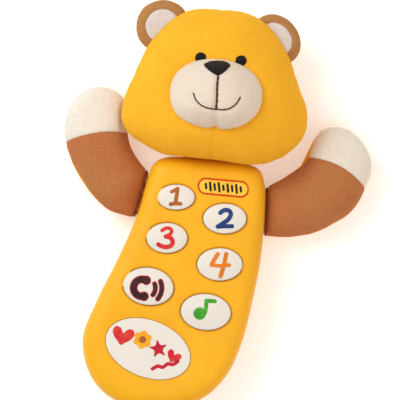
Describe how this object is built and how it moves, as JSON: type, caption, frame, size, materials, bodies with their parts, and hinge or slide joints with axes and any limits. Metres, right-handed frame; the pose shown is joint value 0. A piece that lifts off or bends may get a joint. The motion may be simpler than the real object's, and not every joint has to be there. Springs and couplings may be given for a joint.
{
  "type": "toy cell phone",
  "caption": "Baby's toy phone: curved yellow plastic handset with oval push buttons, a plush bear head on its top edge and two stuffed plush arms at its sides.",
  "frame": {"origin": "on the flat back face of the case, under the middle of the handset", "axes": "+Z out of the keypad face, +Y towards the bear's head, +X to the right as the keypad is seen"},
  "size_m": [0.1547, 0.2055, 0.067],
  "materials": {
    "yellow_plastic": "satin",
    "cream_plastic": "satin",
    "printed_inlay": "satin",
    "red_inlay": "satin",
    "black_plastic": "matte",
    "screw_steel": "satin",
    "circuit_laminate": "satin",
    "bare_steel": "satin",
    "cell_jacket": "satin",
    "lead_insulation": "matte",
    "key_rubber": "matte",
    "yellow_plush": "matte",
    "brown_plush": "matte",
    "cream_plush": "matte",
    "polyester_fibre": "matte",
    "dark_thread": "satin"
  },
  "bodies": {
    "case": {"front_shell": "yellow_plastic", "back_shell": "yellow_plastic", "case_screw_1": "screw_steel", "case_screw_2": "screw_steel", "case_screw_3": "screw_steel", "case_screw_4": "screw_steel", "label_plate": "printed_inlay", "badge_plate": "red_inlay", "circuit_board": "circuit_laminate", "sound_chip": "black_plastic", "speaker_frame": "bare_steel", "speaker_cone": "black_plastic", "speaker_magnet": "bare_steel", "switch_housing": "black_plastic", "battery_1": "cell_jacket", "battery_2": "cell_jacket", "battery_spring_1": "bare_steel", "battery_spring_2": "bare_steel", "contact_plate": "bare_steel", "contact_tab": "bare_steel", "speaker_lead": "lead_insulation", "battery_lead": "lead_insulation", "neck_anchor": "black_plastic", "arm_left_tab": "yellow_plush", "arm_right_tab": "yellow_plush", "rubber_dome_1": "key_rubber", "rubber_dome_2": "key_rubber", "rubber_dome_3": "key_rubber", "rubber_dome_4": "key_rubber", "rubber_dome_call": "key_rubber", "rubber_dome_music": "key_rubber"},
    "battery_door": {"battery_door": "yellow_plastic"},
    "battery_door_screw": {"battery_door_screw": "screw_steel"},
    "switch_knob": {"switch_knob": "black_plastic"},
    "neck": {"neck_sleeve": "yellow_plush"},
    "head": {"head_cover": "yellow_plush", "head_stuffing": "polyester_fibre", "muzzle": "cream_plush", "nose_patch": "dark_thread", "mouth_stitch": "dark_thread", "eye_left": "dark_thread", "eye_right": "dark_thread", "ear_left": "brown_plush", "ear_left_lining": "cream_plush", "ear_right": "brown_plush", "ear_right_lining": "cream_plush"},
    "arm_left": {"arm_left_sleeve": "brown_plush", "arm_left_paw": "cream_plush", "arm_left_back_panel": "yellow_plush", "arm_left_stuffing": "polyester_fibre"},
    "arm_right": {"arm_right_sleeve": "brown_plush", "arm_right_paw": "cream_plush", "arm_right_back_panel": "yellow_plush", "arm_right_stuffing": "polyester_fibre"},
    "button_1": {"button_1": "cream_plastic"},
    "button_2": {"button_2": "cream_plastic"},
    "button_3": {"button_3": "cream_plastic"},
    "button_4": {"button_4": "cream_plastic"},
    "button_call": {"button_call": "cream_plastic"},
    "button_music": {"button_music": "cream_plastic"}
  },
  "joints": [
    {"name": "button_1_press", "type": "slide", "parent": "case", "child": "button_1", "axis": [0, 0, -1], "range_m": [0, 0.0015], "stiffness_N_per_m": 400, "deforming": ["rubber_dome_1"]},
    {"name": "button_2_press", "type": "slide", "parent": "case", "child": "button_2", "axis": [0, 0, -1], "range_m": [0, 0.0015], "stiffness_N_per_m": 400, "deforming": ["rubber_dome_2"]},
    {"name": "button_3_press", "type": "slide", "parent": "case", "child": "button_3", "axis": [0, 0, -1], "range_m": [0, 0.0015], "stiffness_N_per_m": 400, "deforming": ["rubber_dome_3"]},
    {"name": "button_4_press", "type": "slide", "parent": "case", "child": "button_4", "axis": [0, 0, -1], "range_m": [0, 0.0015], "stiffness_N_per_m": 400, "deforming": ["rubber_dome_4"]},
    {"name": "button_call_press", "type": "slide", "parent": "case", "child": "button_call", "axis": [0, 0, -1], "range_m": [0, 0.0015], "stiffness_N_per_m": 400, "deforming": ["rubber_dome_call"]},
    {"name": "button_music_press", "type": "slide", "parent": "case", "child": "button_music", "axis": [0, 0, -1], "range_m": [0, 0.0015], "stiffness_N_per_m": 400, "deforming": ["rubber_dome_music"]},
    {"name": "switch_slide", "type": "slide", "parent": "case", "child": "switch_knob", "axis": [0, 1, 0], "range_m": [0, 0.003]},
    {"name": "battery_door_lift", "type": "slide", "parent": "case", "child": "battery_door", "axis": [0, 0, -1], "range_m": [0, 0.02]},
    {"name": "door_screw_turn", "type": "hinge", "parent": "battery_door", "child": "battery_door_screw", "pos_m": [-0.013, 0.0005, 0], "axis": [0, 0, -1], "continuous": true},
    {"name": "neck_nod", "type": "hinge", "parent": "case", "child": "neck", "pos_m": [0.0165, 0.065, 0.015], "axis": [1, 0, 0], "range_deg": [-8, 12], "stiffness_Nm_per_rad": 1.2},
    {"name": "head_tilt", "type": "hinge", "parent": "neck", "child": "head", "pos_m": [0.0165, 0.069, 0.015], "axis": [0, 0, 1], "range_deg": [-8, 8], "stiffness_Nm_per_rad": 0.8},
    {"name": "arm_left_fold", "type": "hinge", "parent": "case", "child": "arm_left", "pos_m": [-0.0286, 0.046, 0.0126], "axis": [0.2461, 0.8782, 0.4101], "range_deg": [-15, 50], "stiffness_Nm_per_rad": 0.2},
    {"name": "arm_right_fold", "type": "hinge", "parent": "case", "child": "arm_right", "pos_m": [0.0509, 0.0354, 0.0126], "axis": [-0.018, -0.9117, -0.4104], "range_deg": [-15, 50], "stiffness_Nm_per_rad": 0.2}
  ]
}
